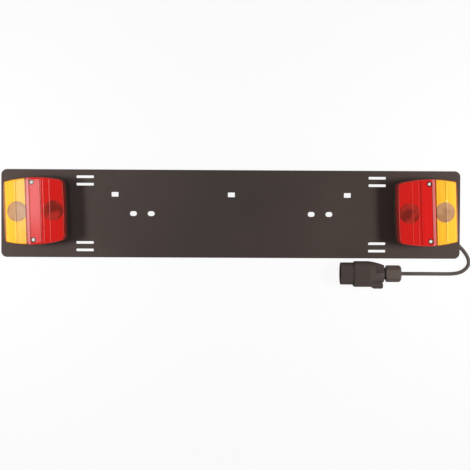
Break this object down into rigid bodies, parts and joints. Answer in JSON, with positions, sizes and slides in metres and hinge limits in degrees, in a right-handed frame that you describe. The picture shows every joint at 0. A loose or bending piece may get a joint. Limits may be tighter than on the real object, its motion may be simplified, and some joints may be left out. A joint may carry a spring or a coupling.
{
  "type": "trailer lighting board",
  "caption": "Black punched steel board with a red and amber rear lamp at each end, a wiring lead with a round plug, strap slots and number plate holes.",
  "frame": {"origin": "middle of the board, on the surface that the bolt ends lie on", "axes": "+X along the board to the right as seen from behind the trailer, +Y up the board as it hangs in use, +Z out of the lamps"},
  "size_m": [0.8221, 0.2048, 0.0709],
  "materials": {
    "board_paint": "satin powder coat",
    "red_lens": "polished, translucent",
    "amber_lens": "polished, translucent",
    "black_plastic": "matte moulded",
    "rubber": "matte",
    "cable_sheath": "smooth",
    "zinc_steel": "zinc plated",
    "brass": "plain",
    "bulb": "clear"
  },
  "bodies": {
    "root": {"board_plate": "board_paint", "coil_ties": "black_plastic", "lamp_bolts": "zinc_steel", "lamp_nuts": "zinc_steel", "lamp_washers": "zinc_steel", "lead_coil": "cable_sheath", "lead_grommet": "rubber", "lead_inner": "cable_sheath", "lead_outer": "cable_sheath", "left_amber_lens": "amber_lens", "left_bulb_holders": "brass", "left_indicator_bulb": "bulb", "left_lamp_base": "black_plastic", "left_lens_seal": "rubber", "left_red_lens": "red_lens", "left_stop_bulb": "bulb", "lens_screws": "zinc_steel", "link_grommets": "rubber", "plug_contacts": "brass", "plug_gland_nut": "black_plastic", "plug_gland_seal": "rubber", "plug_insert": "black_plastic", "plug_shell": "black_plastic", "right_amber_lens": "amber_lens", "right_bulb_holders": "brass", "right_indicator_bulb": "bulb", "right_lamp_base": "black_plastic", "right_lens_seal": "rubber", "right_red_lens": "red_lens", "right_stop_bulb": "bulb"}
  },
  "joints": []
}
